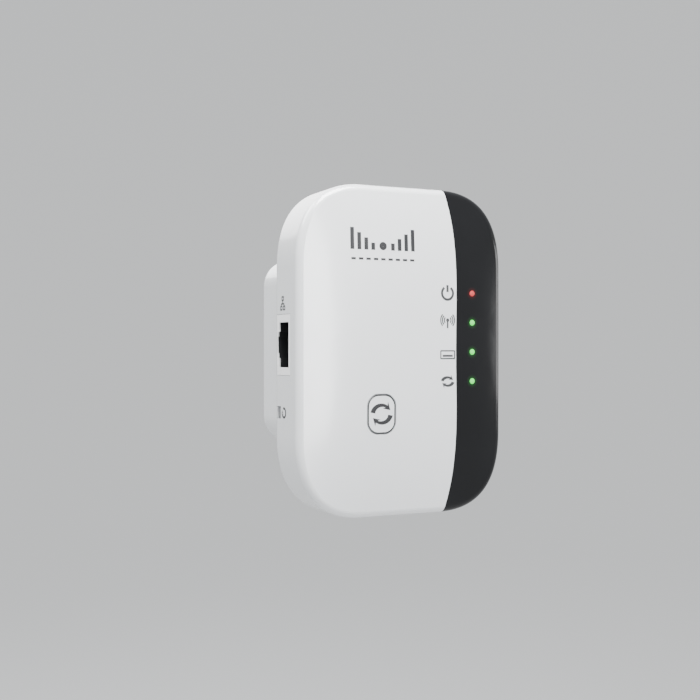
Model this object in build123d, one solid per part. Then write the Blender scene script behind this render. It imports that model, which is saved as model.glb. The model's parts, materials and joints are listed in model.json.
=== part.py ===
"""A wall-plug wireless range extender: rounded white casing, black indicator panel, detachable plug head.

Millimetres. The origin is the middle of the plug nose's end face, which seats against the wall socket.
+Y points along the two plug pins into the socket, +Z is up, and the front cover faces -Y.
"""
from build123d import *
import os

# ---------------------------------------------------------------- driving dimensions
WIDTH = 61.5                     # casing, across X
HEIGHT = 88.0                    # casing, along Z
CORNER_X = 18.4                  # corner curve, measured across X
CORNER_Z = 21.3                  # corner curve, measured along Z
CORNER_HANDLE = 0.647            # Bezier handle: 0.55 is an ellipse, 1.0 a square corner
WALL = 2.2                       # casing wall
BACK_WALL = 1.4                  # the wall that the main board rests on
SIDE_DEPTH = 16.8                # front edge to back face of the wide casing
CROWN = 2.0                      # how far the middle of the front stands proud of its edge
CROWN_SOFT = 0.4                 # share of the crown that falls off with the square of the distance
CROWN_STEEP = 0.6                # share that falls off with the fourth power
CROWN_REACH = 1.08               # the crowned surface is made this much larger than the casing
FRONT_FILLET = 2.0
BACK_FILLET = 3.0
PARTING = 2.4                    # front edge to the line where cover and housing meet
LIP = 1.4                        # depth of the cover's tongue inside the housing

BLOCK_WIDTH = 53.0               # narrower block behind the casing, holding the power board
BLOCK_HEIGHT = 52.0
BLOCK_CORNER = 7.5
BLOCK_DEPTH = 21.2
BLOCK_WALL = 2.0
BLOCK_FILLET = 3.0

NOSE_LENGTH = 18.0               # flat two-pin plug: nose 35.3 x 13.7, pins 4 mm wide and 19 mm long
NOSE_WIDTH = 35.3
NOSE_HEIGHT = 13.7
PIN_LENGTH = 19.0
PIN_RADIUS = 2.0
PIN_SPACING = 18.6
SLEEVE_LENGTH = 10.0             # insulated part of each pin
SLEEVE_RADIUS = 1.8
CORE_RADIUS = 1.3                # pin inside its sleeve
BARREL_RADIUS = 2.3              # rear end of each pin, moulded into the plug head
PLUG_PLATE = (41.0, 29.0, 3.0)   # base plate of the plug head
PLUG_CORNER = 8.0
DOCK_RADIUS = 1.2                # contact pins that the plug head pushes onto
DOCK_SOCKET = 1.25
DOCK_REACH = 9.0                 # how far they reach past the recess floor

FIT = 0.1                        # gap all round between casing parts that touch nothing else
TIGHT = 0.03                     # gap round pins and screws

# ---------------------------------------------------------------- stations along Y
Y_BLOCK = -NOSE_LENGTH
Y_BACK = Y_BLOCK - BLOCK_DEPTH
Y_FRONT = Y_BACK - SIDE_DEPTH
Y_APEX = Y_FRONT - CROWN
Y_PART = Y_FRONT + PARTING
Y_RECESS = Y_BLOCK - PLUG_PLATE[2]
Y_CAVITY = Y_RECESS - BLOCK_WALL
BOARD = 1.2                      # main board thickness
Y_BOARD_BACK = Y_BACK - BACK_WALL
Y_BOARD = Y_BOARD_BACK - BOARD
POWER_BOARD = 1.6
Y_POWER_BACK = Y_CAVITY - 3.0
Y_POWER = Y_POWER_BACK - POWER_BOARD

# ---------------------------------------------------------------- places on the front (x, z)
SEAM = [(12.0, 45.0), (14.45, 34.5), (15.3, 0.0), (14.45, -34.5), (12.0, -45.0)]
PANEL_SKIN = 1.1                 # thickness of the dark panel
LIGHT_X = 20.6
LIGHT_Z = -0.25                  # height of the second light from the bottom
LIGHT_PITCH = 8.02
LIGHT_NAMES = ["sync", "lan", "signal", "power"]
LIGHT_RADIUS = 0.8
PAIR_AT = (-7.45, -16.6)
PAIR_OPENING = (8.6, 10.8)
PAIR_CORNER = 3.4
PAIR_GAP = 0.25
SCREW_AT = (21.0, 34.0)

# ---------------------------------------------------------------- places on the left wall (y, z)
X_INSIDE = WALL - WIDTH / 2      # inner face of the left wall
JACK_OPEN = (Y_FRONT + 4.75, Y_FRONT + 14.1)
JACK_WIDTH = 16.2
JACK_Z = 1.65
JACK_MOUTH = (Y_FRONT + 5.85, Y_FRONT + 12.4)
JACK_HALF_MOUTH = 5.95
JACK_STEPS = [(3.5, 0.8), (2.2, 1.35)]   # notch for the plug's latch: half width and extra depth
JACK_X = (X_INSIDE + 0.6, -10.5)
JACK_DEPTH = 15.5                # how far a network plug goes in
JACK_TALL = 12.0                 # jack body in front of the main board
BEZEL = 0.3                      # thickness of the white frame in front of the jack
RESET_AT = (Y_FRONT + 12.65, -16.3)
RESET_SIZE = (2.3, 3.0)
SIDE_SWITCH_Y = Y_BOARD - 1.8

# ---------------------------------------------------------------- places on the boards (x, z)
BOARD_SCREW_AT = (20.5, 21.2)
POWER_SCREW_AT = (18.5, 12.5)
HEADER_X = 17.0
HEADER_Z = -4.0
HEADER_PITCH = 2.54
HEADER_HOLE = 0.45
SHEET_LIFT = 0.5                 # gap between main board and insulating sheet


# ---------------------------------------------------------------- helpers
def plane_at(y):
    """Plane across Y, with sketch x along +X, sketch y along +Z and its normal towards the front."""
    return Plane.XZ.offset(-y)


def slab(sketch, y0, y1):
    """Extrude an XZ sketch from y0 back to y1."""
    return extrude(plane_at(y1) * sketch, amount=y1 - y0)


def rod(radius, x, z, y0, y1):
    """Round bar along Y."""
    return slab(Pos(x, z) * Circle(radius), y0, y1)


def block(x0, x1, y0, y1, z0, z1):
    """Box between opposite corners."""
    middle = ((x0 + x1) / 2, (y0 + y1) / 2, (z0 + z1) / 2)
    return Pos(*middle) * Box(x1 - x0, y1 - y0, z1 - z0)


def pill(width, height, corner):
    return RectangleRounded(width, height, corner)


def corners(x, z):
    """The four places (+-x, +-z)."""
    return [(sx * x, sz * z) for sx in (-1, 1) for sz in (-1, 1)]


def outline(inset=0.0):
    """Front view of the casing: straight sides joined by one soft curve at each corner."""
    half_w = WIDTH / 2 - inset
    half_h = HEIGHT / 2 - inset
    flat_x = WIDTH / 2 - CORNER_X
    flat_z = HEIGHT / 2 - CORNER_Z
    pull_x = flat_x + (half_w - flat_x) * CORNER_HANDLE
    pull_z = flat_z + (half_h - flat_z) * CORNER_HANDLE
    corner = Bezier((flat_x, half_h), (pull_x, half_h), (half_w, pull_z), (half_w, flat_z))
    side = Line((half_w, flat_z), (half_w, 0))
    top = Line((0, half_h), (flat_x, half_h))
    quarter = Wire([top, corner, side])
    right = [quarter, quarter.mirror(Plane.XZ)]
    edges = []
    for wire in right:
        edges += wire.edges()
        edges += wire.mirror(Plane.YZ).edges()
    return make_face(edges)


def crown_fall(t):
    """1 in the middle of the front and 0 at its edge, for t from -1 to 1."""
    return 1 - CROWN_SOFT * t ** 2 - CROWN_STEEP * t ** 4


def front_y(x, z, inset=0.0):
    """Depth of the crowned front surface at a place on it."""
    return Y_FRONT - CROWN * crown_fall(2 * x / WIDTH) * crown_fall(2 * z / HEIGHT) + inset


def crown_weights(reach):
    """Bezier control values of crown_fall over t = -reach to reach, as a curve of degree four."""
    square = [1, 0, -1 / 3, 0, 1]
    fourth = [1, -1, 1, -1, 1]
    soft = CROWN_SOFT * reach ** 2
    steep = CROWN_STEEP * reach ** 4
    return [1 - soft * s - steep * f for s, f in zip(square, fourth)]


def crown_body(inset):
    """Everything behind the front surface moved back by inset."""
    weights = crown_weights(CROWN_REACH)
    points = []
    for i, across in enumerate(weights):
        x = CROWN_REACH * WIDTH / 2 * (i / 2 - 1)
        column = []
        for j, along in enumerate(weights):
            z = CROWN_REACH * HEIGHT / 2 * (j / 2 - 1)
            column.append((x, Y_FRONT - CROWN * across * along + inset, z))
        points.append(column)
    surface = Face.make_bezier_surface(points)
    return Solid.extrude(surface, Vector(0, 40, 0))


def front_body(inset=0.0, back=Y_PART):
    """The solid form of the front, inset on every outer face, back to a plane."""
    return slab(outline(inset), Y_APEX - 2, back) & crown_body(inset)


def right_of_seam(shift=0.0):
    """The side of the casing that the dark panel covers."""
    points = [(x + shift, z) for x, z in SEAM]
    reach = WIDTH
    edge = Spline(*points)
    top, bottom = points[0], points[-1]
    rest = Polyline(top, (reach, top[1]), (reach, bottom[1]), bottom)
    return slab(make_face([edge, *rest.edges()]), Y_APEX - 2, Y_BACK)


def light_places():
    """Names and heights of the four indicator lights, lowest first."""
    return [(name, LIGHT_Z + (i - 1) * LIGHT_PITCH) for i, name in enumerate(LIGHT_NAMES)]


# ---------------------------------------------------------------- casing
def skin():
    """Outer form of the front with its softened edge."""
    body = front_body()
    rim = [e for e in body.edges() if e.center().Y < Y_FRONT + 0.9]
    return fillet(rim, FRONT_FILLET)


def make_front(outer):
    """White cover: crowned shell with a lowered bed for the dark panel, posts and an inner tongue."""
    cover = outer - front_body(WALL, back=Y_PART + 5)
    bed = (outer - front_body(PANEL_SKIN + 0.05, back=Y_PART + 5)) & right_of_seam(-0.06)
    cover -= bed
    tongue = slab(outline(WALL / 2 + FIT) - outline(WALL), Y_PART - 0.4, Y_PART + LIP)
    cover += tongue
    deep = front_body(WALL - 0.3, back=Y_BACK)
    for x, z in corners(*SCREW_AT):
        post = rod(2.75, x, z, Y_APEX, Y_BOARD - 2.75)
        cover += post & deep
        cover -= rod(1.1 + TIGHT, x, z, Y_BOARD - 12, Y_BOARD)
    cover -= slab(Pos(*PAIR_AT) * pill(*PAIR_OPENING, PAIR_CORNER), Y_APEX - 1, Y_PART)
    for _, z in light_places():
        cover -= rod(LIGHT_RADIUS + TIGHT, LIGHT_X, z, Y_APEX - 1, Y_PART)
    return cover


def make_panel(outer):
    """Glossy dark skin that covers the right of the front and its edge."""
    panel = (outer - front_body(PANEL_SKIN, back=Y_PART + 5)) & right_of_seam()
    for _, z in light_places():
        panel -= rod(LIGHT_RADIUS + TIGHT, LIGHT_X, z, Y_APEX - 1, Y_PART)
    return panel


def block_shape(inset=0.0):
    return pill(BLOCK_WIDTH - 2 * inset, BLOCK_HEIGHT - 2 * inset, BLOCK_CORNER - inset)


def make_rear():
    """White housing: side walls, back wall, power block, bosses, vents and openings."""
    casing = slab(outline(), Y_PART, Y_BACK)
    casing = fillet(casing.edges().group_by(Axis.Y)[-1], BACK_FILLET)
    power = slab(block_shape(), Y_BOARD_BACK, Y_BLOCK)
    power = fillet(power.edges().group_by(Axis.Y)[-1], BLOCK_FILLET)
    rear = casing + power
    rear -= slab(outline(WALL), Y_PART - 1, Y_BOARD_BACK)
    rear -= slab(outline(WALL / 2), Y_PART - 1, Y_PART + LIP + FIT)
    rear -= slab(block_shape(BLOCK_WALL), Y_BOARD_BACK - 1, Y_CAVITY)
    rear -= slab(pill(PLUG_PLATE[0] + 2 * FIT, PLUG_PLATE[1] + 2 * FIT, PLUG_CORNER), Y_RECESS, Y_BLOCK)
    for side in (-1, 1):
        rear -= rod(DOCK_RADIUS + TIGHT, side * PIN_SPACING / 2, 0, Y_CAVITY, Y_RECESS)
    rear += housing_bosses()
    rear -= housing_screw_holes()
    rear += board_columns()
    rear -= wall_openings()
    rear -= vents()
    return rear


def housing_bosses():
    """Four bosses inside the back wall, each taking a screw head from behind."""
    room = slab(outline(WALL / 2), Y_BOARD - 4, Y_BACK)
    posts = [rod(3.5, x, z, Y_BOARD - 2.7, Y_BOARD_BACK + 0.2) & room for x, z in corners(*SCREW_AT)]
    return Part() + posts


def housing_screw_holes():
    holes = []
    for x, z in corners(*SCREW_AT):
        holes.append(rod(2.5, x, z, Y_BACK - 2.6, Y_BACK))
        holes.append(rod(1.4, x, z, Y_BACK - 7, Y_BACK - 2.6))
    return Part() + holes


def board_columns():
    """Columns in the block: four long ones under the main board, four short under the power board."""
    inside = slab(block_shape(BLOCK_WALL / 2), Y_BOARD_BACK, Y_CAVITY + 0.4)
    columns = []
    for x, z in corners(*BOARD_SCREW_AT):
        column = rod(2.4, x, z, Y_BOARD_BACK, Y_CAVITY + 0.4) & inside
        columns.append(column - rod(0.8 + TIGHT, x, z, Y_BOARD_BACK, Y_BOARD_BACK + 6))
    for x, z in corners(*POWER_SCREW_AT):
        column = rod(2.2, x, z, Y_POWER_BACK, Y_CAVITY + 0.4)
        columns.append(column - rod(0.8 + TIGHT, x, z, Y_POWER_BACK, Y_CAVITY - 0.2))
    return Part() + columns


def wall_openings():
    """Cut-outs in the left wall for the network jack and the reset button."""
    half = JACK_WIDTH / 2
    jack = block(-WIDTH, X_INSIDE + 1, *JACK_OPEN, JACK_Z - half, JACK_Z + half)
    y, z = RESET_AT
    deep, tall = RESET_SIZE[0] / 2 + 0.15, RESET_SIZE[1] / 2 + 0.15
    reset = block(-WIDTH, X_INSIDE + 1, y - deep, y + deep, z - tall, z + tall)
    return Part() + [jack, reset]


def vents():
    """Rows of slots through the top and bottom walls."""
    slots = []
    for i in range(7):
        x = (i - 3) * 4.0
        for side in (-1, 1):
            slot = Pos(x, Y_FRONT + 8.2, side * HEIGHT / 2) * Box(1.6, 8.0, 2 * WALL + 2)
            slots.append(fillet(slot.edges().filter_by(Axis.Z), 0.75))
    return Part() + slots


def make_label():
    """Blank rating label on the back wall under the block."""
    return slab(Pos(0, -34.5) * pill(30, 11, 1.0), Y_BACK, Y_BACK + 0.15)


# ---------------------------------------------------------------- buttons and switches
def make_pair_button(outer):
    """Front button: crowned cap, retaining flange and a stem down to its switch."""
    x, z = PAIR_AT
    width, height = [size - 2 * PAIR_GAP for size in PAIR_OPENING]
    flange_y = front_y(x - 6, z - 7, WALL) + 0.15
    shape = Pos(x, z) * pill(width, height, PAIR_CORNER - PAIR_GAP)
    cap = slab(shape, Y_APEX - 1, flange_y + 0.5) & outer
    flange = slab(Pos(x, z) * pill(width + 2.6, height + 2.6, PAIR_CORNER + 1), flange_y, flange_y + 0.9)
    stem = rod(2.0, x, z, flange_y + 0.4, Y_BOARD - 4.65)
    return cap + flange + stem


def make_pair_switch():
    x, z = PAIR_AT
    body = block(x - 3, x + 3, Y_BOARD - 3.8, Y_BOARD, z - 3, z + 3)
    body = fillet(body.edges().filter_by(Axis.Y), 0.5)
    return body - rod(1.78, x, z, Y_BOARD - 4, Y_BOARD - 2.2)


def make_pair_plunger():
    x, z = PAIR_AT
    return rod(1.7, x, z, Y_BOARD - 4.6, Y_BOARD - 2.9)


def make_reset_button():
    """Small side button with a flange behind the wall."""
    y, z = RESET_AT
    deep, tall = RESET_SIZE[0] / 2, RESET_SIZE[1] / 2
    cap = block(-WIDTH / 2 + 0.3, X_INSIDE + 0.5, y - deep, y + deep, z - tall, z + tall)
    cap = fillet(cap.edges().group_by(Axis.X)[0], 0.35)
    flange = block(X_INSIDE + 0.1, X_INSIDE + 0.7, y - deep - 0.9, y + deep, z - tall - 0.8, z + tall + 0.8)
    return cap + flange


def make_reset_switch():
    z = RESET_AT[1]
    body = block(-26.6, -22.8, Y_BOARD - 3.6, Y_BOARD, z - 3, z + 3)
    body = fillet(body.edges().filter_by(Axis.X), 0.4)
    return body - block(-27, -25.0, SIDE_SWITCH_Y - 0.88, SIDE_SWITCH_Y + 0.88, z - 1.28, z + 1.28)


def make_reset_plunger():
    z = RESET_AT[1]
    return block(X_INSIDE + 0.75, -25.7, SIDE_SWITCH_Y - 0.8, SIDE_SWITCH_Y + 0.8, z - 1.2, z + 1.2)


# ---------------------------------------------------------------- lights
def make_light_pipe(z):
    """Clear rod from a light on the main board to the front surface, with a low dome."""
    tip = front_y(LIGHT_X, z)
    body = rod(LIGHT_RADIUS, LIGHT_X, z, tip + 0.4, Y_BOARD - 1.3)
    dome = rod(LIGHT_RADIUS, LIGHT_X, z, tip - 1, tip + 0.5) & Pos(LIGHT_X, tip + 1.8, z) * Sphere(2.0)
    return body + dome


def make_light(z):
    """Surface-mounted light on the main board."""
    body = block(LIGHT_X - 0.8, LIGHT_X + 0.8, Y_BOARD - 0.9, Y_BOARD, z - 0.6, z + 0.6)
    return chamfer(body.edges().group_by(Axis.Y)[0], 0.15)


# ---------------------------------------------------------------- network jack
def jack_mouth():
    """Stepped opening that takes a network plug and its latch."""
    depth = JACK_X[0] + JACK_DEPTH
    mouth = block(-WIDTH, depth, *JACK_MOUTH, JACK_Z - JACK_HALF_MOUTH, JACK_Z + JACK_HALF_MOUTH)
    steps = [block(-WIDTH, depth, JACK_MOUTH[1] - 1, JACK_MOUTH[1] + extra, JACK_Z - half, JACK_Z + half)
             for half, extra in JACK_STEPS]
    return mouth + steps


def make_bezel():
    """Thin white frame that fills the wall's cut-out in front of the jack."""
    half = JACK_WIDTH / 2 - FIT
    face = block(-WIDTH / 2, BEZEL - WIDTH / 2, JACK_OPEN[0] + FIT, JACK_OPEN[1] - FIT,
                 JACK_Z - half, JACK_Z + half)
    return face - jack_mouth()


def make_jack():
    """Dark eight-way network jack: body on the main board, neck through the left wall up to the frame."""
    half = JACK_WIDTH / 2
    body = block(*JACK_X, Y_BOARD - JACK_TALL, Y_BOARD, JACK_Z - half, JACK_Z + half)
    neck = block(BEZEL + TIGHT - WIDTH / 2, JACK_X[0] + 1, JACK_OPEN[0] + FIT, JACK_OPEN[1] - FIT,
                 JACK_Z - half + FIT, JACK_Z + half - FIT)
    depth = JACK_X[0] + JACK_DEPTH
    leg_slot = block(depth - 1.0, depth, JACK_MOUTH[0], Y_BOARD, JACK_Z - 4.2, JACK_Z + 4.2)
    floor = block(*JACK_X, Y_BOARD - 0.7, Y_BOARD, JACK_Z - half, JACK_Z + half) - leg_slot
    return body + neck - jack_mouth() - leg_slot + floor


def make_contacts():
    """Eight gilded springs: a slanted arm along the mouth and a leg down to the board."""
    leg = JACK_X[0] + JACK_DEPTH - 0.5
    path = Polyline((leg - 11.5, JACK_MOUTH[0] + 1.5), (leg, JACK_MOUTH[0] + 0.3), (leg, Y_BOARD))
    arm = extrude(trace(path, line_width=0.34), amount=0.22, both=True)
    return Part() + [Pos(0, 0, JACK_Z + (i - 3.5) * 1.02) * arm for i in range(8)]


# ---------------------------------------------------------------- main board and what stands on it
def make_main_board():
    shape = pill(54.2, 52.0, 4.0)
    board = slab(shape, Y_BOARD, Y_BOARD_BACK)
    for x, z in corners(*BOARD_SCREW_AT):
        board -= rod(1.0, x, z, Y_BOARD, Y_BOARD_BACK)
    for z in header_pins():
        board -= rod(HEADER_HOLE, HEADER_X, z, Y_BOARD, Y_BOARD_BACK)
    return board


def header_pins():
    """Heights of the four pins that join the two boards."""
    return [HEADER_Z + (i - 1.5) * HEADER_PITCH for i in range(4)]


def on_board(x, z, width, height, rise, soft=0.0):
    """Component body standing on the front of the main board."""
    part = block(x - width / 2, x + width / 2, Y_BOARD - rise, Y_BOARD, z - height / 2, z + height / 2)
    if soft:
        part = fillet(part.edges().filter_by(Axis.Y), soft)
    return part


def chip(x, z, width, height, rise, legs, pitch, leg_reach=0.9):
    """Moulded chip with two rows of flat legs, standing on the main board."""
    package = on_board(x, z, width, height, rise)
    package = chamfer(package.edges().group_by(Axis.Y)[0], 0.2)
    for i in range(legs):
        leg_z = z + (i - (legs - 1) / 2) * pitch
        reach = width / 2 + leg_reach
        package += block(x - reach, x + reach, Y_BOARD - 0.3, Y_BOARD, leg_z - 0.2, leg_z + 0.2)
    return package


def make_shield_can():
    """Drawn metal lid over the radio processor."""
    lid = on_board(8.0, 4.0, 17, 17, 3.2, soft=1.0)
    return lid - on_board(8.0, 4.0, 16.4, 16.4, 2.9, soft=0.7)


def make_inductor():
    body = on_board(-1.5, 19.5, 6, 6, 3.0, soft=1.2)
    top = rod(2.4, -1.5, 19.5, Y_BOARD - 3.3, Y_BOARD - 3.0)
    return body + top


def make_filter_capacitor():
    can = rod(3.15, -12.0, 17.5, Y_BOARD - 7.4, Y_BOARD)
    return fillet(can.edges().group_by(Axis.Y)[0], 0.5)


def make_crystal():
    can = on_board(11.5, 18.6, 10.6, 4.2, 3.3, soft=2.0)
    return fillet(can.edges().group_by(Axis.Y)[0], 0.4)


def make_antenna(side):
    """Thin antenna board on a stub of the back wall, above or below the main board."""
    z = side * 33.0
    plate = slab(Pos(0, z) * pill(30, 7, 1.0), Y_BOARD - 1.6, Y_BOARD - 0.8)
    foot = block(-4, 4, Y_BOARD - 0.8, Y_BOARD_BACK, z - 1.5, z + 1.5)
    return plate + foot


def make_antenna_lead(side):
    """Thin coaxial lead from an antenna board to its connector on the main board."""
    y = Y_BOARD - 1.2
    route = FilletPolyline((9.0, y, side * 29.5), (9.0, y, side * 27.0), (4.0, y, side * 25.2),
                           (4.0, y, side * 22.6), radius=1.2)
    start = route @ 0
    section = Plane(origin=start, z_dir=route % 0) * Circle(0.55)
    return sweep(section, path=route)


def make_antenna_connectors():
    plugs = [on_board(4.0, side * 21.4, 2.4, 2.4, 1.9) for side in (-1, 1)]
    return Part() + plugs


def make_header():
    """Four square pins and their plastic bar between the two boards."""
    pins = []
    for z in header_pins():
        pins.append(block(HEADER_X - 0.3, HEADER_X + 0.3, Y_BOARD - 1.2, Y_POWER + 0.6, z - 0.3, z + 0.3))
    bar = block(HEADER_X - 1.25, HEADER_X + 1.25, -37.4, -34.8, HEADER_Z - 5.1, HEADER_Z + 5.1)
    return Part() + [bar, *pins]


def make_insulating_sheet():
    """Stiff insulating sheet between the boards, notched round the board columns and the header."""
    near = Y_BOARD_BACK + SHEET_LIFT
    sheet = slab(pill(48.0, 47.0, 4.0), near, near + 0.4)
    for x, z in corners(*BOARD_SCREW_AT):
        sheet -= rod(2.9, x, z, Y_BOARD_BACK, Y_BOARD_BACK + 2)
    return sheet - block(HEADER_X - 1.6, HEADER_X + 1.6, Y_BOARD_BACK, Y_BOARD_BACK + 2,
                         HEADER_Z - 5.4, HEADER_Z + 5.4)


# ---------------------------------------------------------------- power board and what stands on it
def make_power_board():
    board = slab(pill(46.0, 32.0, 2.0), Y_POWER, Y_POWER_BACK)
    for x, z in corners(*POWER_SCREW_AT):
        board -= rod(1.0, x, z, Y_POWER, Y_POWER_BACK)
    for side in (-1, 1):
        board -= rod(DOCK_RADIUS + TIGHT, side * PIN_SPACING / 2, 0, Y_POWER, Y_POWER_BACK)
    for z in header_pins():
        board -= rod(HEADER_HOLE, HEADER_X, z, Y_POWER, Y_POWER_BACK)
    return board


def on_power(x, z, width, height, rise, lift=0.0):
    """Component body standing on the front of the power board."""
    return block(x - width / 2, x + width / 2, Y_POWER - lift - rise, Y_POWER - lift,
                 z - height / 2, z + height / 2)


def make_transformer_bobbin():
    """Flanged bobbin with its winding, a square drum through the core."""
    drum = on_power(0, 0, 9.4, 12.6, 6.2, lift=1.9)
    drum = fillet(drum.edges().filter_by(Axis.Z), 1.2)
    bobbin = drum + on_power(0, 7.0, 12.0, 1.4, 10.0) + on_power(0, -7.0, 12.0, 1.4, 10.0)
    return bobbin - core_bars()


def core_bars():
    """The core's three legs, along Z through and beside the drum."""
    return Part() + [on_power(0, 0, 3.6, 17.6, 3.6, lift=3.2)]


def make_transformer_core():
    """Ferrite frame: a bar through the drum closed by a yoke at each end and a roof."""
    yokes = [on_power(0, side * 8.75, 12.0, 1.9, 9.4, lift=1.0) for side in (-1, 1)]
    roof = on_power(0, 0, 12.0, 19.4, 1.2, lift=10.4)
    bar = on_power(0, 0, 3.5, 17.0, 3.5, lift=3.25)
    return roof + yokes + bar


def make_primary_capacitors():
    cans = []
    for z in (-6.4, 6.4):
        can = rod(4.0, -12.8, z, Y_POWER - 11.0, Y_POWER)
        cans.append(fillet(can.edges().group_by(Axis.Y)[0], 0.5))
    return Part() + cans


def make_output_capacitor():
    can = rod(3.6, 11.6, 8.8, Y_POWER - 10.0, Y_POWER)
    return fillet(can.edges().group_by(Axis.Y)[0], 0.5)


def make_rectifier():
    return chamfer(on_power(-20.2, 6.0, 3.0, 5.0, 2.4).edges().group_by(Axis.Y)[0], 0.2)


def make_fuse_resistor():
    """Axial fusible resistor lying on the board."""
    bar = Pos(-20.0, Y_POWER - 2.0, -5.5) * Cylinder(1.6, 8.0)
    return fillet(bar.edges(), 0.5)


def make_choke():
    """Axial coated choke beside the capacitors."""
    bar = Pos(-12.6, Y_POWER - 2.2, 13.0) * Rot(0, 90, 0) * Cylinder(2.2, 6.5)
    return fillet(bar.edges(), 0.8)


def make_safety_capacitor():
    """Ceramic disc standing on edge between the two sides of the supply."""
    disc = Pos(7.0, Y_POWER - 4.4, -12.6) * Rot(90, 0, 0) * Rot(90, 0, 0) * Cylinder(3.6, 2.4)
    return fillet(disc.edges(), 0.9)


def make_power_controller():
    body = on_power(-5.4, -13.0, 4.8, 3.8, 1.6)
    return chamfer(body.edges().group_by(Axis.Y)[0], 0.2)


def make_output_diode():
    body = on_power(11.6, -6.4, 4.4, 2.6, 2.2)
    return chamfer(body.edges().group_by(Axis.Y)[0], 0.2)


# ---------------------------------------------------------------- fasteners
def screw(x, z, seat, facing, head, shank, length):
    """Pan-head screw with a cross recess; facing is +1 when the head looks along +Y."""
    head_height = head * 0.75
    far = seat + facing * head_height
    top = rod(head, x, z, min(seat, far), max(seat, far))
    rim = top.edges().group_by(Axis.Y)[-1 if facing > 0 else 0]
    top = fillet(rim, head * 0.3)
    tip = seat - facing * length
    body = top + rod(shank, x, z, min(seat, tip), max(seat, tip))
    depth = far - facing * head_height * 0.5
    for arm in ((head * 1.1, head * 0.22), (head * 0.22, head * 1.1)):
        body -= slab(Pos(x, z) * Rectangle(*arm), min(far, depth), max(far, depth))
    return body


def make_housing_screws():
    seat = Y_BACK - 2.6
    return Part() + [screw(x, z, seat, 1, 2.3, 1.1, 9.0) for x, z in corners(*SCREW_AT)]


def make_main_board_screws():
    return Part() + [screw(x, z, Y_BOARD, -1, 1.7, 0.8, 6.0) for x, z in corners(*BOARD_SCREW_AT)]


def make_power_board_screws():
    return Part() + [screw(x, z, Y_POWER, -1, 1.7, 0.8, 4.2) for x, z in corners(*POWER_SCREW_AT)]


# ---------------------------------------------------------------- plug head
def nose_outline():
    """Flat two-pin plug: long straight sides and blunt pointed ends."""
    half_w, half_h = NOSE_WIDTH / 2, NOSE_HEIGHT / 2
    flat = half_w - 4.6
    end = half_h - 4.2
    points = [(flat, half_h), (half_w, end), (half_w, -end), (flat, -half_h)]
    points += [(-x, z) for x, z in reversed(points)]
    shape = make_face(Polyline(*points, close=True).edges())
    return fillet(shape.vertices(), 1.6)


def make_plug_head():
    """Base plate that drops into the block's recess, with the plug nose standing on it."""
    plate = slab(pill(PLUG_PLATE[0], PLUG_PLATE[1], PLUG_CORNER - FIT), Y_RECESS, Y_BLOCK)
    nose = slab(nose_outline(), Y_BLOCK - 0.5, 0)
    nose = fillet(nose.edges().group_by(Axis.Y)[-1], 1.0)
    head = plate + nose
    for side in (-1, 1):
        head -= rod(BARREL_RADIUS, side * PIN_SPACING / 2, 0, Y_RECESS, -2)
        head -= rod(CORE_RADIUS, side * PIN_SPACING / 2, 0, -2, 0)
    return head


def make_plug_pins():
    """Solid pins with rounded tips, a thin core under the sleeve and a socket in the rear end."""
    pins = []
    for side in (-1, 1):
        x = side * PIN_SPACING / 2
        tip = rod(PIN_RADIUS, x, 0, SLEEVE_LENGTH, PIN_LENGTH)
        tip = fillet(tip.edges().group_by(Axis.Y)[-1], PIN_RADIUS * 0.85)
        core = rod(CORE_RADIUS, x, 0, -2.5, SLEEVE_LENGTH)
        barrel = rod(BARREL_RADIUS, x, 0, Y_RECESS, -2)
        barrel -= rod(DOCK_SOCKET, x, 0, Y_RECESS, Y_RECESS + DOCK_REACH + 1.5)
        pins.append(tip + core + barrel)
    return Part() + pins


def make_pin_sleeves():
    """Insulating sleeve round the inner half of each pin."""
    sleeves = []
    for side in (-1, 1):
        x = side * PIN_SPACING / 2
        sleeves.append(rod(SLEEVE_RADIUS, x, 0, 0, SLEEVE_LENGTH) - rod(CORE_RADIUS, x, 0, 0, SLEEVE_LENGTH))
    return Part() + sleeves


def make_dock_pins():
    """Contact pins from the power board through the recess floor into the plug head."""
    pins = []
    for side in (-1, 1):
        pin = rod(DOCK_RADIUS, side * PIN_SPACING / 2, 0, Y_POWER - 0.8, Y_RECESS + DOCK_REACH)
        pins.append(chamfer(pin.edges().group_by(Axis.Y)[-1], 0.4))
    return Part() + pins


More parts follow.
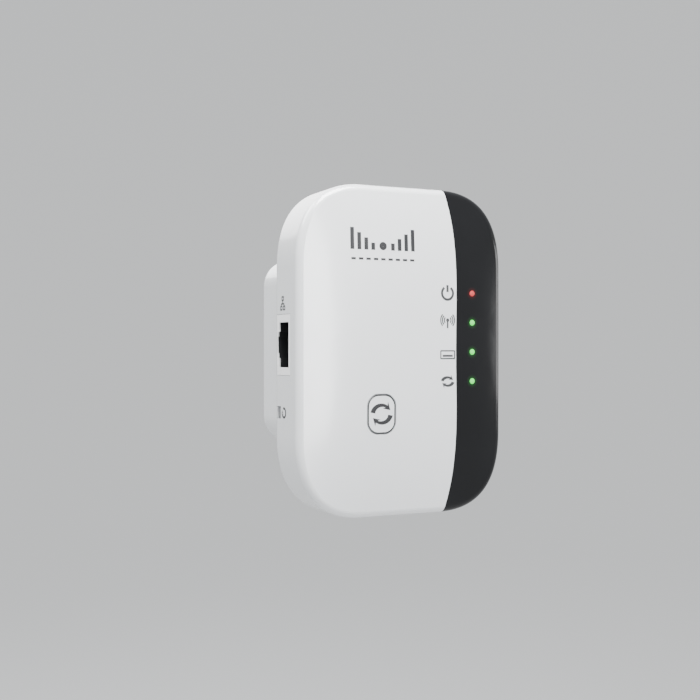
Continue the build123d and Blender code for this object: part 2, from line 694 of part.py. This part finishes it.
# ---------------------------------------------------------------- all the parts
def build():
    """Every sub-part by name."""
    outer = skin()
    parts = {
        "front_cover": make_front(outer),
        "side_panel": make_panel(outer),
        "rear_housing": make_rear(),
        "rating_label": make_label(),
        "pair_button": make_pair_button(outer),
        "pair_switch": make_pair_switch(),
        "pair_switch_plunger": make_pair_plunger(),
        "reset_button": make_reset_button(),
        "reset_switch": make_reset_switch(),
        "reset_switch_plunger": make_reset_plunger(),
        "lan_jack": make_jack(),
        "jack_bezel": make_bezel(),
        "lan_contacts": make_contacts(),
        "main_board": make_main_board(),
        "lan_transformer": chip(-5.4, 2.0, 7.0, 12.8, 3.8, 8, 1.5),
        "shield_can": make_shield_can(),
        "processor": on_board(8.0, 4.0, 10, 10, 1.0),
        "thermal_pad": Pos(0, -1.0, 0) * on_board(8.0, 4.0, 9, 9, 1.9),
        "memory_chip": chip(7.0, -13.4, 9.0, 8.0, 1.1, 10, 0.75),
        "flash_chip": chip(-15.2, -14.6, 4.0, 5.0, 1.6, 4, 1.27),
        "crystal": make_crystal(),
        "filter_capacitor": make_filter_capacitor(),
        "regulator_inductor": make_inductor(),
        "upper_antenna": make_antenna(1),
        "lower_antenna": make_antenna(-1),
        "upper_antenna_lead": make_antenna_lead(1),
        "lower_antenna_lead": make_antenna_lead(-1),
        "antenna_connectors": make_antenna_connectors(),
        "board_header": make_header(),
        "insulating_sheet": make_insulating_sheet(),
        "power_board": make_power_board(),
        "transformer_bobbin": make_transformer_bobbin(),
        "transformer_core": make_transformer_core(),
        "primary_capacitors": make_primary_capacitors(),
        "output_capacitor": make_output_capacitor(),
        "bridge_rectifier": make_rectifier(),
        "fuse_resistor": make_fuse_resistor(),
        "input_choke": make_choke(),
        "safety_capacitor": make_safety_capacitor(),
        "power_controller": make_power_controller(),
        "output_diode": make_output_diode(),
        "housing_screws": make_housing_screws(),
        "main_board_screws": make_main_board_screws(),
        "power_board_screws": make_power_board_screws(),
        "plug_head": make_plug_head(),
        "plug_pins": make_plug_pins(),
        "pin_sleeves": make_pin_sleeves(),
        "dock_pins": make_dock_pins(),
    }
    for name, z in light_places():
        parts[f"light_pipe_{name}"] = make_light_pipe(z)
        parts[f"{name}_light"] = make_light(z)
    return parts


os.makedirs("parts", exist_ok=True)
for node, shape in build().items():
    export_step(shape, f"parts/{node}.step")
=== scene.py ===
"""Looks for the wireless range extender: materials, printed pictograms, studio and camera."""
import json
from math import atan2, cos, hypot, pi, radians, sin

import bmesh
import bpy
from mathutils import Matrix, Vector


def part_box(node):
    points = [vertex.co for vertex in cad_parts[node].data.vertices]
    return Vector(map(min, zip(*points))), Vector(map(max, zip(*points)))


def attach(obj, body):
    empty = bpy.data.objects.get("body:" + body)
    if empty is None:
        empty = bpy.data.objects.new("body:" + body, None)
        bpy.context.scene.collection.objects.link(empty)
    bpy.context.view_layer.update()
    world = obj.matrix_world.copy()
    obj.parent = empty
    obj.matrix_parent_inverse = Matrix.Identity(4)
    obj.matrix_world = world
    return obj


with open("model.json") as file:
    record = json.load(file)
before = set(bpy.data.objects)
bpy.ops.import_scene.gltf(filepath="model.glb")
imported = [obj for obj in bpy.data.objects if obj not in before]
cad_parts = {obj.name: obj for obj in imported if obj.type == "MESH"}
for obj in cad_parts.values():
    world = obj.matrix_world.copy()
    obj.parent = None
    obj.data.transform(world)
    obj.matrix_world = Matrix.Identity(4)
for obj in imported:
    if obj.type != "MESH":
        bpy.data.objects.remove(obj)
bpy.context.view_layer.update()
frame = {"nodes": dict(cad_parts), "record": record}

MM = 0.001
NODES = frame["nodes"]
FRONT_EDGE_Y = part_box("front_cover")[0].y + 2.0 * MM

# ---------------------------------------------------------------- camera
CAMERA_TURN = 28.0               # degrees to the left of the front
CAMERA_AIM = 2.84                # aimed this much to the left of the object, so it sits right of centre
CAMERA_DISTANCE = 289 * MM
CAMERA_LIFT = 0.28 * MM
LENS = 55.44


def make_camera():
    """Level camera to the left of the front, at the distance that gives the right perspective."""
    turn = radians(CAMERA_TURN)
    target = Vector((0, FRONT_EDGE_Y, 0))
    data = bpy.data.cameras.new("camera")
    data.lens = LENS
    data.sensor_width = 36
    data.clip_start = 0.01
    camera = bpy.data.objects.new("camera", data)
    camera.location = target + Vector((-sin(turn), -cos(turn), 0)) * CAMERA_DISTANCE
    camera.location.z = CAMERA_LIFT
    camera.rotation_euler = (radians(90), 0, -turn + radians(CAMERA_AIM))
    bpy.context.scene.collection.objects.link(camera)
    bpy.context.scene.camera = camera


# ---------------------------------------------------------------- studio
FLOOR_Z = -0.26
STUDIO_RADIUS = 1.7
STUDIO_BEND = 0.6
STUDIO_HEIGHT = 2.4
PAPER = (0.25, 0.253, 0.256)
PAPER_GLOW = 0.54                # evens out the light on the paper
PAPER_GLOW_COLOUR = (0.975, 0.992, 1)
AIR_COLOUR = (0.95, 0.97, 1)
AIR_STRENGTH = 0.8

# name, turn and rise in degrees, distance and size in metres, power in watts
SOFT_BOXES = (
    ("overhead", -12, 68, 0.25, (0.16, 0.16), 2.4),
    ("front_strip", 6, 8, 0.6, (0.15, 0.36), 2.0),
    ("left_fill", -100, 48, 0.6, (0.35, 0.3), 3.5),
    ("right_strip", 72, 4, 0.4, (0.26, 0.12), 0.5),
    ("back_fill", 178, 35, 0.6, (0.5, 0.4), 2.2),
)


def make_studio():
    """Pale floor that turns up into a round backdrop, the same from every side."""
    profile = [(0.0, FLOOR_Z), (STUDIO_RADIUS - STUDIO_BEND, FLOOR_Z)]
    for i in range(1, 17):
        angle = i / 16 * pi / 2
        profile.append((STUDIO_RADIUS - STUDIO_BEND + STUDIO_BEND * sin(angle),
                        FLOOR_Z + STUDIO_BEND * (1 - cos(angle))))
    profile.append((STUDIO_RADIUS, FLOOR_Z + STUDIO_HEIGHT))
    steps = 96
    verts = [(r * cos(2 * pi * k / steps), r * sin(2 * pi * k / steps), z)
             for r, z in profile[1:] for k in range(steps)]
    faces = [tuple(range(steps))]
    for ring in range(len(profile) - 2):
        for k in range(steps):
            a, b = ring * steps + k, ring * steps + (k + 1) % steps
            faces.append((a, a + steps, b + steps, b))
    mesh = bpy.data.meshes.new("studio")
    mesh.from_pydata(verts, [], faces)
    mesh.shade_smooth()
    studio = bpy.data.objects.new("studio", mesh)
    bpy.context.scene.collection.objects.link(studio)
    material, shader, _, _ = new_material("studio_paper")
    shader.inputs["Base Color"].default_value = (*PAPER, 1)
    shader.inputs["Roughness"].default_value = 0.9
    shader.inputs["Specular IOR Level"].default_value = 0.1
    shader.inputs["Emission Color"].default_value = (*PAPER_GLOW_COLOUR, 1)
    shader.inputs["Emission Strength"].default_value = PAPER_GLOW
    mesh.materials.append(material)


def make_area_light(name, turn, rise, distance, size, energy):
    """Soft box aimed at the casing; turn and rise are its direction in degrees, turn 0 being the front."""
    data = bpy.data.lights.new(name, "AREA")
    data.shape = "RECTANGLE"
    data.size, data.size_y = size
    data.energy = energy
    light = bpy.data.objects.new(name, data)
    light.visible_camera = False
    turn, rise = radians(turn), radians(rise)
    away = Vector((sin(turn) * cos(rise), -cos(turn) * cos(rise), sin(rise)))
    light.location = Vector((0, FRONT_EDGE_Y, 0)) + away * distance
    light.rotation_euler = away.to_track_quat("Z", "Y").to_euler()
    bpy.context.scene.collection.objects.link(light)


def make_lights():
    """Pale air all round and the soft boxes."""
    world = bpy.data.worlds.new("studio_air")
    bpy.context.scene.world = world
    world.use_nodes = True
    background = world.node_tree.nodes["Background"]
    background.inputs["Color"].default_value = (*AIR_COLOUR, 1)
    background.inputs["Strength"].default_value = AIR_STRENGTH
    for soft_box in SOFT_BOXES:
        make_area_light(*soft_box)


# ---------------------------------------------------------------- materials
def new_material(name):
    """Material with its shader, and the node tree's nodes and links."""
    material = bpy.data.materials.new(name)
    material.use_nodes = True
    nodes, links = material.node_tree.nodes, material.node_tree.links
    return material, nodes["Principled BSDF"], nodes, links


def noise(nodes, links, scale, detail=3.0, roughness=0.5):
    """Noise over the object's own coordinates, scale in cycles per metre."""
    place = nodes.new("ShaderNodeTexCoord")
    texture = nodes.new("ShaderNodeTexNoise")
    texture.inputs["Scale"].default_value = scale
    texture.inputs["Detail"].default_value = detail
    texture.inputs["Roughness"].default_value = roughness
    links.new(place.outputs["Object"], texture.inputs["Vector"])
    return texture.outputs["Fac"]


def spread(nodes, links, value, low, high, start=0.35, end=0.65):
    """Map a texture value from start..end to low..high."""
    node = nodes.new("ShaderNodeMapRange")
    node.inputs["From Min"].default_value = start
    node.inputs["From Max"].default_value = end
    node.inputs["To Min"].default_value = low
    node.inputs["To Max"].default_value = high
    links.new(value, node.inputs["Value"])
    return node.outputs["Result"]


def mix_colour(nodes, links, factor, first, second):
    """Blend from one plain colour to another by a texture value."""
    node = nodes.new("ShaderNodeMix")
    node.data_type = "RGBA"
    node.inputs["A"].default_value = (*first, 1)
    node.inputs["B"].default_value = (*second, 1)
    links.new(factor, node.inputs["Factor"])
    return node.outputs["Result"]


def bump(nodes, links, shader, height, depth, strength=1.0):
    """Raise the surface by height times depth metres."""
    node = nodes.new("ShaderNodeBump")
    node.inputs["Distance"].default_value = depth
    node.inputs["Strength"].default_value = strength
    links.new(height, node.inputs["Height"])
    links.new(node.outputs["Normal"], shader.inputs["Normal"])


def moulded(name, colour, roughness, grain=9000, relief=0.004, shift=0.03, coat=0.0, specular=0.5,
            subsurface=0.0):
    """Moulded plastic: slight colour drift, uneven gloss and a fine skin grain."""
    material, shader, nodes, links = new_material(name)
    cloud = noise(nodes, links, 60, detail=4)
    darker = tuple(c * (1 - shift) for c in colour)
    tone = mix_colour(nodes, links, spread(nodes, links, cloud, 0, 1), colour, darker)
    links.new(tone, shader.inputs["Base Color"])
    gloss = spread(nodes, links, noise(nodes, links, 220, detail=5), roughness * 0.88, roughness * 1.14)
    links.new(gloss, shader.inputs["Roughness"])
    bump(nodes, links, shader, noise(nodes, links, grain, detail=2), relief * MM)
    shader.inputs["Specular IOR Level"].default_value = specular
    if coat:
        shader.inputs["Coat Weight"].default_value = coat
        shader.inputs["Coat Roughness"].default_value = 0.12
    if subsurface:
        shader.inputs["Subsurface Weight"].default_value = subsurface
        shader.inputs["Subsurface Radius"].default_value = (1.2 * MM, 1.1 * MM, 1.0 * MM)
        shader.inputs["Subsurface Scale"].default_value = 1.0
    return material


def metal(name, colour, roughness, grain=(900, 900, 900), relief=0.002):
    """Bare or plated metal with fine stretched drawing marks."""
    material, shader, nodes, links = new_material(name)
    place = nodes.new("ShaderNodeTexCoord")
    stretch = nodes.new("ShaderNodeMapping")
    stretch.inputs["Scale"].default_value = grain
    texture = nodes.new("ShaderNodeTexNoise")
    texture.inputs["Scale"].default_value = 1.0
    texture.inputs["Detail"].default_value = 4
    links.new(place.outputs["Object"], stretch.inputs["Vector"])
    links.new(stretch.outputs["Vector"], texture.inputs["Vector"])
    marks = texture.outputs["Fac"]
    darker = tuple(c * 0.86 for c in colour)
    tone = mix_colour(nodes, links, spread(nodes, links, marks, 0, 1), colour, darker)
    links.new(tone, shader.inputs["Base Color"])
    links.new(spread(nodes, links, marks, roughness * 0.75, roughness * 1.35), shader.inputs["Roughness"])
    bump(nodes, links, shader, marks, relief * MM)
    shader.inputs["Metallic"].default_value = 1.0
    return material


def glow_falloff(nodes, links, centre, radius):
    """1 at a point and 0 at the radius from it, falling off smoothly."""
    place = nodes.new("ShaderNodeTexCoord")
    distance = nodes.new("ShaderNodeVectorMath")
    distance.operation = "DISTANCE"
    distance.inputs[1].default_value = centre
    links.new(place.outputs["Object"], distance.inputs[0])
    falloff = nodes.new("ShaderNodeMapRange")
    falloff.interpolation_type = "SMOOTHERSTEP"
    falloff.inputs["From Min"].default_value = radius
    falloff.inputs["From Max"].default_value = 0.3 * radius
    links.new(distance.outputs["Value"], falloff.inputs["Value"])
    return falloff.outputs["Result"]


RED = (1.0, 0.02, 0.015)
GREEN = (0.05, 1.0, 0.08)
LIGHTS = {"power": RED, "signal": GREEN, "lan": GREEN, "sync": GREEN}
PAINTED_GLOW_RADIUS = 2.1 * MM           # how far the glow painted round a light reaches on the black panel
# strength of the glow painted on the panel round the lights
PAINTED_GLOW_STRENGTH = 0.06
CORE_RADIUS = 0.95 * MM          # bright middle of a light pipe's front end


def light_tip(name):
    """Middle of a light pipe's front end."""
    low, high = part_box("light_pipe_" + name)
    return Vector(((low.x + high.x) / 2, low.y, (low.z + high.z) / 2))


def glow_of(nodes, links, colour, radius):
    """Falloff round every light of one colour."""
    total = None
    for name, its_colour in LIGHTS.items():
        if its_colour != colour:
            continue
        falloff = glow_falloff(nodes, links, light_tip(name), radius)
        if total is None:
            total = falloff
            continue
        highest = nodes.new("ShaderNodeMath")
        highest.operation = "MAXIMUM"
        links.new(total, highest.inputs[0])
        links.new(falloff, highest.inputs[1])
        total = highest.outputs["Value"]
    return total


def panel_gloss_and_painted_glow(name):
    """Glossy black panel with faint smears, and a glow painted on it as emission round each light."""
    material = moulded(name, (0.005, 0.0052, 0.006), 0.13, grain=2500, relief=0.0002, shift=0.2,
                       specular=0.35)
    nodes, links = material.node_tree.nodes, material.node_tree.links
    shader = nodes["Principled BSDF"]
    add = nodes.new("ShaderNodeMix")
    add.data_type = "RGBA"
    add.blend_type = "ADD"
    add.inputs["Factor"].default_value = 1.0
    # painted light: red and green emission round the lights, standing for the glow they throw on the panel
    for socket, colour in (("A", RED), ("B", GREEN)):
        tint = mix_colour(nodes, links, glow_of(nodes, links, colour, PAINTED_GLOW_RADIUS), (0, 0, 0), colour)
        links.new(tint, add.inputs[socket])
    links.new(add.outputs["Result"], shader.inputs["Emission Color"])
    shader.inputs["Emission Strength"].default_value = PAINTED_GLOW_STRENGTH
    return material


def lit_rod(name, colour, strength):
    """Clear rod carrying coloured light, brightest in the middle of its front end."""
    material, shader, nodes, links = new_material(name)
    shader.inputs["Base Color"].default_value = (*[0.04 + 0.3 * c for c in colour], 1)
    shader.inputs["Roughness"].default_value = 0.3
    shader.inputs["Specular IOR Level"].default_value = 0.1
    core = glow_of(nodes, links, colour, CORE_RADIUS)
    dim = tuple(0.45 * c for c in colour)
    hot = tuple(0.05 + 0.95 * c for c in colour)
    links.new(mix_colour(nodes, links, core, dim, hot), shader.inputs["Emission Color"])
    shader.inputs["Emission Strength"].default_value = strength
    return material


def circuit_board(name, mask, track):
    """Solder mask in two shades over faint tracks."""
    material, shader, nodes, links = new_material(name)
    place = nodes.new("ShaderNodeTexCoord")
    turn = nodes.new("ShaderNodeMapping")
    turn.inputs["Rotation"].default_value = (radians(90), 0, 0)
    links.new(place.outputs["Object"], turn.inputs["Vector"])
    brick = nodes.new("ShaderNodeTexBrick")
    brick.inputs["Scale"].default_value = 260
    brick.inputs["Mortar Size"].default_value = 0.06
    brick.inputs["Color1"].default_value = (*mask, 1)
    brick.inputs["Color2"].default_value = (*[m * 0.8 for m in mask], 1)
    brick.inputs["Mortar"].default_value = (*track, 1)
    links.new(turn.outputs["Vector"], brick.inputs["Vector"])
    links.new(brick.outputs["Color"], shader.inputs["Base Color"])
    links.new(spread(nodes, links, noise(nodes, links, 300), 0.32, 0.48), shader.inputs["Roughness"])
    bump(nodes, links, shader, brick.outputs["Fac"], 0.02 * MM)
    return material


MATERIALS = {
    "casing_white": lambda n: moulded(n, (0.80, 0.815, 0.83), 0.24, shift=0.015, coat=1.0, specular=0.9,
                                      subsurface=0.05),
    "panel_black": panel_gloss_and_painted_glow,
    "jack_white": lambda n: moulded(n, (0.95, 0.95, 0.95), 0.3, shift=0.005),
    # jack body: black plastic, its black partly painted shade, standing for the shade inside the jack
    # opening
    "jack_black": lambda n: moulded(n, (0.02, 0.02, 0.022), 0.4),
    "button_grey": lambda n: moulded(n, (0.2, 0.205, 0.21), 0.45),
    "light_red": lambda n: lit_rod(n, RED, 0.5),
    "light_green": lambda n: lit_rod(n, GREEN, 1.4),
    "led_body": lambda n: moulded(n, (0.9, 0.88, 0.75), 0.3),
    "label_paper": lambda n: moulded(n, (0.72, 0.73, 0.74), 0.5, grain=3000, relief=0.003),
    "switch_black": lambda n: moulded(n, (0.03, 0.03, 0.032), 0.5),
    "gold_contact": lambda n: metal(n, (0.9, 0.66, 0.28), 0.25),
    "nickel_pin": lambda n: metal(n, (0.78, 0.76, 0.73), 0.2, grain=(5000, 60, 5000), relief=0.003),
    "sleeve_white": lambda n: moulded(n, (0.8, 0.8, 0.79), 0.42),
    "board_green": lambda n: circuit_board(n, (0.015, 0.16, 0.06), (0.03, 0.26, 0.1)),
    "board_tan": lambda n: circuit_board(n, (0.46, 0.33, 0.15), (0.55, 0.42, 0.2)),
    "chip_black": lambda n: moulded(n, (0.035, 0.035, 0.038), 0.55, grain=14000, relief=0.01),
    "tin_plate": lambda n: metal(n, (0.72, 0.73, 0.74), 0.35),
    "screw_steel": lambda n: metal(n, (0.6, 0.6, 0.61), 0.35),
    "pad_grey": lambda n: moulded(n, (0.45, 0.5, 0.55), 0.7),
    "can_aluminium": lambda n: metal(n, (0.75, 0.76, 0.78), 0.32),
    "ferrite": lambda n: moulded(n, (0.07, 0.07, 0.075), 0.6, grain=6000, relief=0.02, shift=0.2),
    "bobbin_tape": lambda n: moulded(n, (0.8, 0.62, 0.1), 0.4),
    "choke_green": lambda n: moulded(n, (0.08, 0.3, 0.12), 0.4),
    "disc_blue": lambda n: moulded(n, (0.05, 0.18, 0.45), 0.35),
    "resistor_body": lambda n: moulded(n, (0.3, 0.38, 0.36), 0.45),
    "cable_black": lambda n: moulded(n, (0.03, 0.03, 0.03), 0.5),
    "sheet_clear": lambda n: moulded(n, (0.72, 0.68, 0.55), 0.35),
}


def dress_nodes():
    """Give every CAD node its slot's material."""
    made = {}
    for part in frame["record"]["subparts"]:
        slot = part["material_slot"]
        if slot not in made:
            made[slot] = MATERIALS[slot](slot + "_look")
        mesh = NODES[part["node"]].data
        mesh.materials.clear()
        mesh.materials.append(made[slot])


# ---------------------------------------------------------------- printed pictograms, and a painted shade line round the pairing button
INK_RISE = 0.015 * MM            # how far the ink stands above the plastic
INK_DEPTH = 0.04 * MM            # and how far it reaches below, so that it is a closed film
STEP = 0.35                      # longest stretch between points of a stroke, mm
ICON_LEFT = 8.0                  # pictograms stand this far left of their lights, mm
SOCKET_DROP = -0.75              # the socket sign sits a little below its light
RELAY_PLACE = (0.6, 26.6)        # front mark: right of the pairing button's middle, and its height
PAIR_SIGN = {"radius": 2.6, "width": 1.4, "squash": 0.9}
# dark line laid on the pairing button's edge: painted shade standing for the gap round the button
PAIR_GAP_SHADE = {"width": 7.74, "height": 9.94, "corner": 3.0}
WALL_PRINT_BACK = 7.6            # wall prints stand this far behind the rear housing's front edge
NETWORK_RISE = 10.9              # network sign above the middle of its jack
RESTART_FORWARD = 0.9            # keeps the circular arrow clear of the reset button's opening


class Film:
    """A flat drawing in millimetres, made of strips and patches, to be laid on a surface."""

    def __init__(self):
        self.verts = []
        self.faces = []

    def strip(self, left, right):
        """Quads between two rows of points."""
        start = len(self.verts)
        for a, b in zip(left, right):
            self.verts += [a, b]
        for i in range(len(left) - 1):
            k = start + 2 * i
            self.faces.append((k, k + 1, k + 3, k + 2))

    def line(self, points, width, taper=1.0):
        """Stroke along points, narrowing to taper times its width at the end."""
        points = dense(points)
        left, right = [], []
        for i, (x, z) in enumerate(points):
            ax, az = points[max(i - 1, 0)]
            bx, bz = points[min(i + 1, len(points) - 1)]
            run = hypot(bx - ax, bz - az)
            half = width / 2 * (1 + (taper - 1) * i / (len(points) - 1))
            nx, nz = -(bz - az) / run * half, (bx - ax) / run * half
            left.append((x + nx, z + nz))
            right.append((x - nx, z - nz))
        self.strip(left, right)

    def disc(self, x, z, radius):
        turn = [2 * pi * i / 32 for i in range(33)]
        rings = [[(x + r * cos(a), z + r * sin(a)) for a in turn] for r in (radius * 0.04, radius)]
        self.strip(*rings)

    def head(self, x, z, angle, size):
        """Arrowhead with its tip at x, z, pointing along angle."""
        back = [(x + size * cos(angle + s * radians(150)), z + size * sin(angle + s * radians(150)))
                for s in (1, -1)]
        middle = (x - size * 0.55 * cos(angle), z - size * 0.55 * sin(angle))
        start = len(self.verts)
        self.verts += [(x, z), back[0], middle, back[1]]
        self.faces += [(start, start + 1, start + 2), (start, start + 2, start + 3)]


def dense(points):
    """The same path with no stretch longer than STEP."""
    path = [points[0]]
    for a, b in zip(points, points[1:]):
        count = max(1, int(hypot(b[0] - a[0], b[1] - a[1]) / STEP) + 1)
        path += [(a[0] + (b[0] - a[0]) * k / count, a[1] + (b[1] - a[1]) * k / count)
                 for k in range(1, count + 1)]
    return path


def arc(x, z, radius, start, end, squash=1.0):
    """Points along an arc, angles in degrees."""
    count = 24
    angles = [radians(start + (end - start) * k / count) for k in range(count + 1)]
    return [(x + radius * cos(a), z + radius * squash * sin(a)) for a in angles]


def rounded(x, z, width, height, radius):
    """Closed path round a rectangle with round corners."""
    path = []
    for cx, cz, start in ((1, 1, 0), (-1, 1, 90), (-1, -1, 180), (1, -1, 270)):
        path += arc(x + cx * (width / 2 - radius), z + cz * (height / 2 - radius), radius, start, start + 90)
    return path + [path[0]]


def lay(film, name, targets, toward, body, material):
    """Project a drawing onto CAD nodes along a direction and leave it there as a thin closed film."""
    toward = Vector(toward)
    across = Vector((1, 0, 0)) if abs(toward.y) > 0.5 else Vector((0, 1, 0))
    tops, bottoms = [], []
    for u, z in film.verts:
        origin = across * u * MM + Vector((0, 0, z * MM)) - toward * 0.2
        hits = [NODES[t].ray_cast(origin, toward) for t in targets]
        spots = [place for found, place, _, _ in hits if found]
        spot = min(spots, key=lambda p: (p - origin).length)
        tops.append(spot - toward * INK_RISE)
        bottoms.append(spot + toward * INK_DEPTH)
    count = len(tops)
    faces = [tuple(f) for f in film.faces]
    edges = {}
    for face in faces:
        for a, b in zip(face, face[1:] + face[:1]):
            edges[frozenset((a, b))] = None if frozenset((a, b)) in edges else (a, b)
    walls = [(b, a, a + count, b + count) for a, b in filter(None, edges.values())]
    backs = [tuple(i + count for i in reversed(f)) for f in faces]
    mesh = bpy.data.meshes.new(name)
    mesh.from_pydata(tops + bottoms, [], faces + backs + walls)
    mesh.validate()
    piece = bpy.data.objects.new(name, mesh)
    bpy.context.scene.collection.objects.link(piece)
    fix_normals(mesh)
    mesh.materials.append(material)
    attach(piece, body)
    return piece


def fix_normals(mesh):
    """Turn every face outwards."""
    work = bmesh.new()
    work.from_mesh(mesh)
    bmesh.ops.recalc_face_normals(work, faces=work.faces)
    work.to_mesh(mesh)
    work.free()


def node_middle(name):
    """Middle of a node's box, in millimetres."""
    low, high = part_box(name)
    return (low + high) / 2 / MM


def draw_relay_mark(film, x, z):
    """Signal bars that fade out, a relay dot, and bars that grow again, over a dashed rule."""
    for i, height in enumerate((5.8, 4.5, 3.2, 1.9)):
        for side in (-1, 1):
            px = x + side * (8.9 - i * 2.0)
            film.line([(px, z), (px, z + height)], 1.1)
    film.disc(x, z + 1.1, 1.1)
    for i in range(9):
        px = x + (i - 4) * 2.15
        film.line([(px - 0.65, z - 2.4), (px + 0.65, z - 2.4)], 0.6)


def draw_power(film, x, z):
    film.line(arc(x, z - 0.1, 1.75, 124, 416), 0.68)
    film.line([(x, z + 0.2), (x, z + 2.1)], 0.7)


def draw_antenna(film, x, z):
    film.line([(x, z - 1.6), (x, z + 0.6)], 0.5)
    film.disc(x, z + 0.6, 0.5)
    for radius, half in ((1.05, 42), (1.65, 44), (2.2, 44)):
        film.line(arc(x, z + 0.6, radius, -half, half), 0.36)
        film.line(arc(x, z + 0.6, radius, 180 - half, 180 + half), 0.36)


def draw_socket(film, x, z):
    film.line(rounded(x, z, 4.4, 2.1, 0.12), 0.36)
    film.line([(x - 1.6, z - 0.3), (x + 1.6, z - 0.3)], 0.56)


def draw_sync(film, x, z, radius=1.7, width=1.0, squash=0.66):
    """Two arrows chasing each other round, each with a broad tail."""
    for turn in (0, 180):
        path = arc(x, z, radius, 172 + turn, 52 + turn, squash)
        film.line(path, width, taper=0.5)
        (ax, az), (bx, bz) = path[-2], path[-1]
        angle = atan2(bz - az, bx - ax) - radians(10)
        reach = radius * 0.5
        film.head(bx + reach * cos(angle), bz + reach * sin(angle), angle, radius * 0.9)


# Painted shade: a dark line round the button's edge, for the shade in the gap between button and cover.
def draw_button_gap_shade(film, x, z, width, height, corner):
    film.line(rounded(x, z, width, height, corner), 0.34)


def draw_network(film, y, z):
    """Three linked boxes, for the network jack."""
    film.line(rounded(y, z + 1.3, 1.2, 0.9, 0.1), 0.42)
    film.line([(y, z + 0.8), (y, z - 0.1)], 0.42)
    film.line([(y - 1.0, z - 0.7), (y - 1.0, z - 0.1), (y + 1.0, z - 0.1), (y + 1.0, z - 0.7)], 0.42)
    for side in (-1, 1):
        film.line(rounded(y + side * 1.0, z - 1.2, 1.1, 0.9, 0.1), 0.42)


def draw_restart(film, y, z):
    """Circular arrow, for the reset button."""
    film.line(arc(y, z, 1.2, 60, 345), 0.6)
    film.head(y + 1.25, z + 0.7, radians(85), 1.3)


def print_on(name, targets, toward, body, ink, drawing, *place, **sizes):
    """Draw one pictogram and lay it on its node."""
    film = Film()
    drawing(film, *place, **sizes)
    lay(film, name, targets, toward, body, ink)


def draw_pictograms():
    """Everything printed on the casing, and a dark line painted round the pairing button as the shade in its
    gap.
    """
    dark = moulded("ink_dark", (0.014, 0.014, 0.016), 0.4, relief=0.002)
    grey = moulded("ink_grey", (0.035, 0.036, 0.038), 0.42, relief=0.002)
    front, inward, rightward = ["front_cover"], (0, 1, 0), (1, 0, 0)
    lights = {name: node_middle("light_pipe_" + name) for name in LIGHTS}
    icon_x = lights["power"].x - ICON_LEFT
    icons = {"power": (draw_power, 0.0), "signal": (draw_antenna, 0.0), "lan": (draw_socket, SOCKET_DROP),
             "sync": (draw_sync, 0.0)}
    for name, (drawing, drop) in icons.items():
        print_on("print_" + name, front, inward, "housing", grey, drawing, icon_x, lights[name].z + drop)
    button = node_middle("pair_button")
    relay_right, relay_z = RELAY_PLACE
    print_on("print_relay", front, inward, "housing", dark, draw_relay_mark, button.x + relay_right, relay_z)
    on_button = (["pair_button"], inward, "pair_button", dark)
    print_on("print_pair", *on_button, draw_sync, button.x, button.z, **PAIR_SIGN)
    # painted shade round the button, laid as a film of dark ink
    print_on("print_pair_rim", *on_button, draw_button_gap_shade, button.x, button.z, **PAIR_GAP_SHADE)
    on_wall = (["rear_housing"], rightward, "housing", dark)
    wall_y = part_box("rear_housing")[0].y / MM + WALL_PRINT_BACK
    network_z = node_middle("jack_bezel").z + NETWORK_RISE
    print_on("print_network", *on_wall, draw_network, wall_y, network_z)
    restart_y = wall_y - RESTART_FORWARD
    print_on("print_restart", *on_wall, draw_restart, restart_y, node_middle("reset_button").z)


make_camera()
make_studio()
make_lights()
dress_nodes()
draw_pictograms()
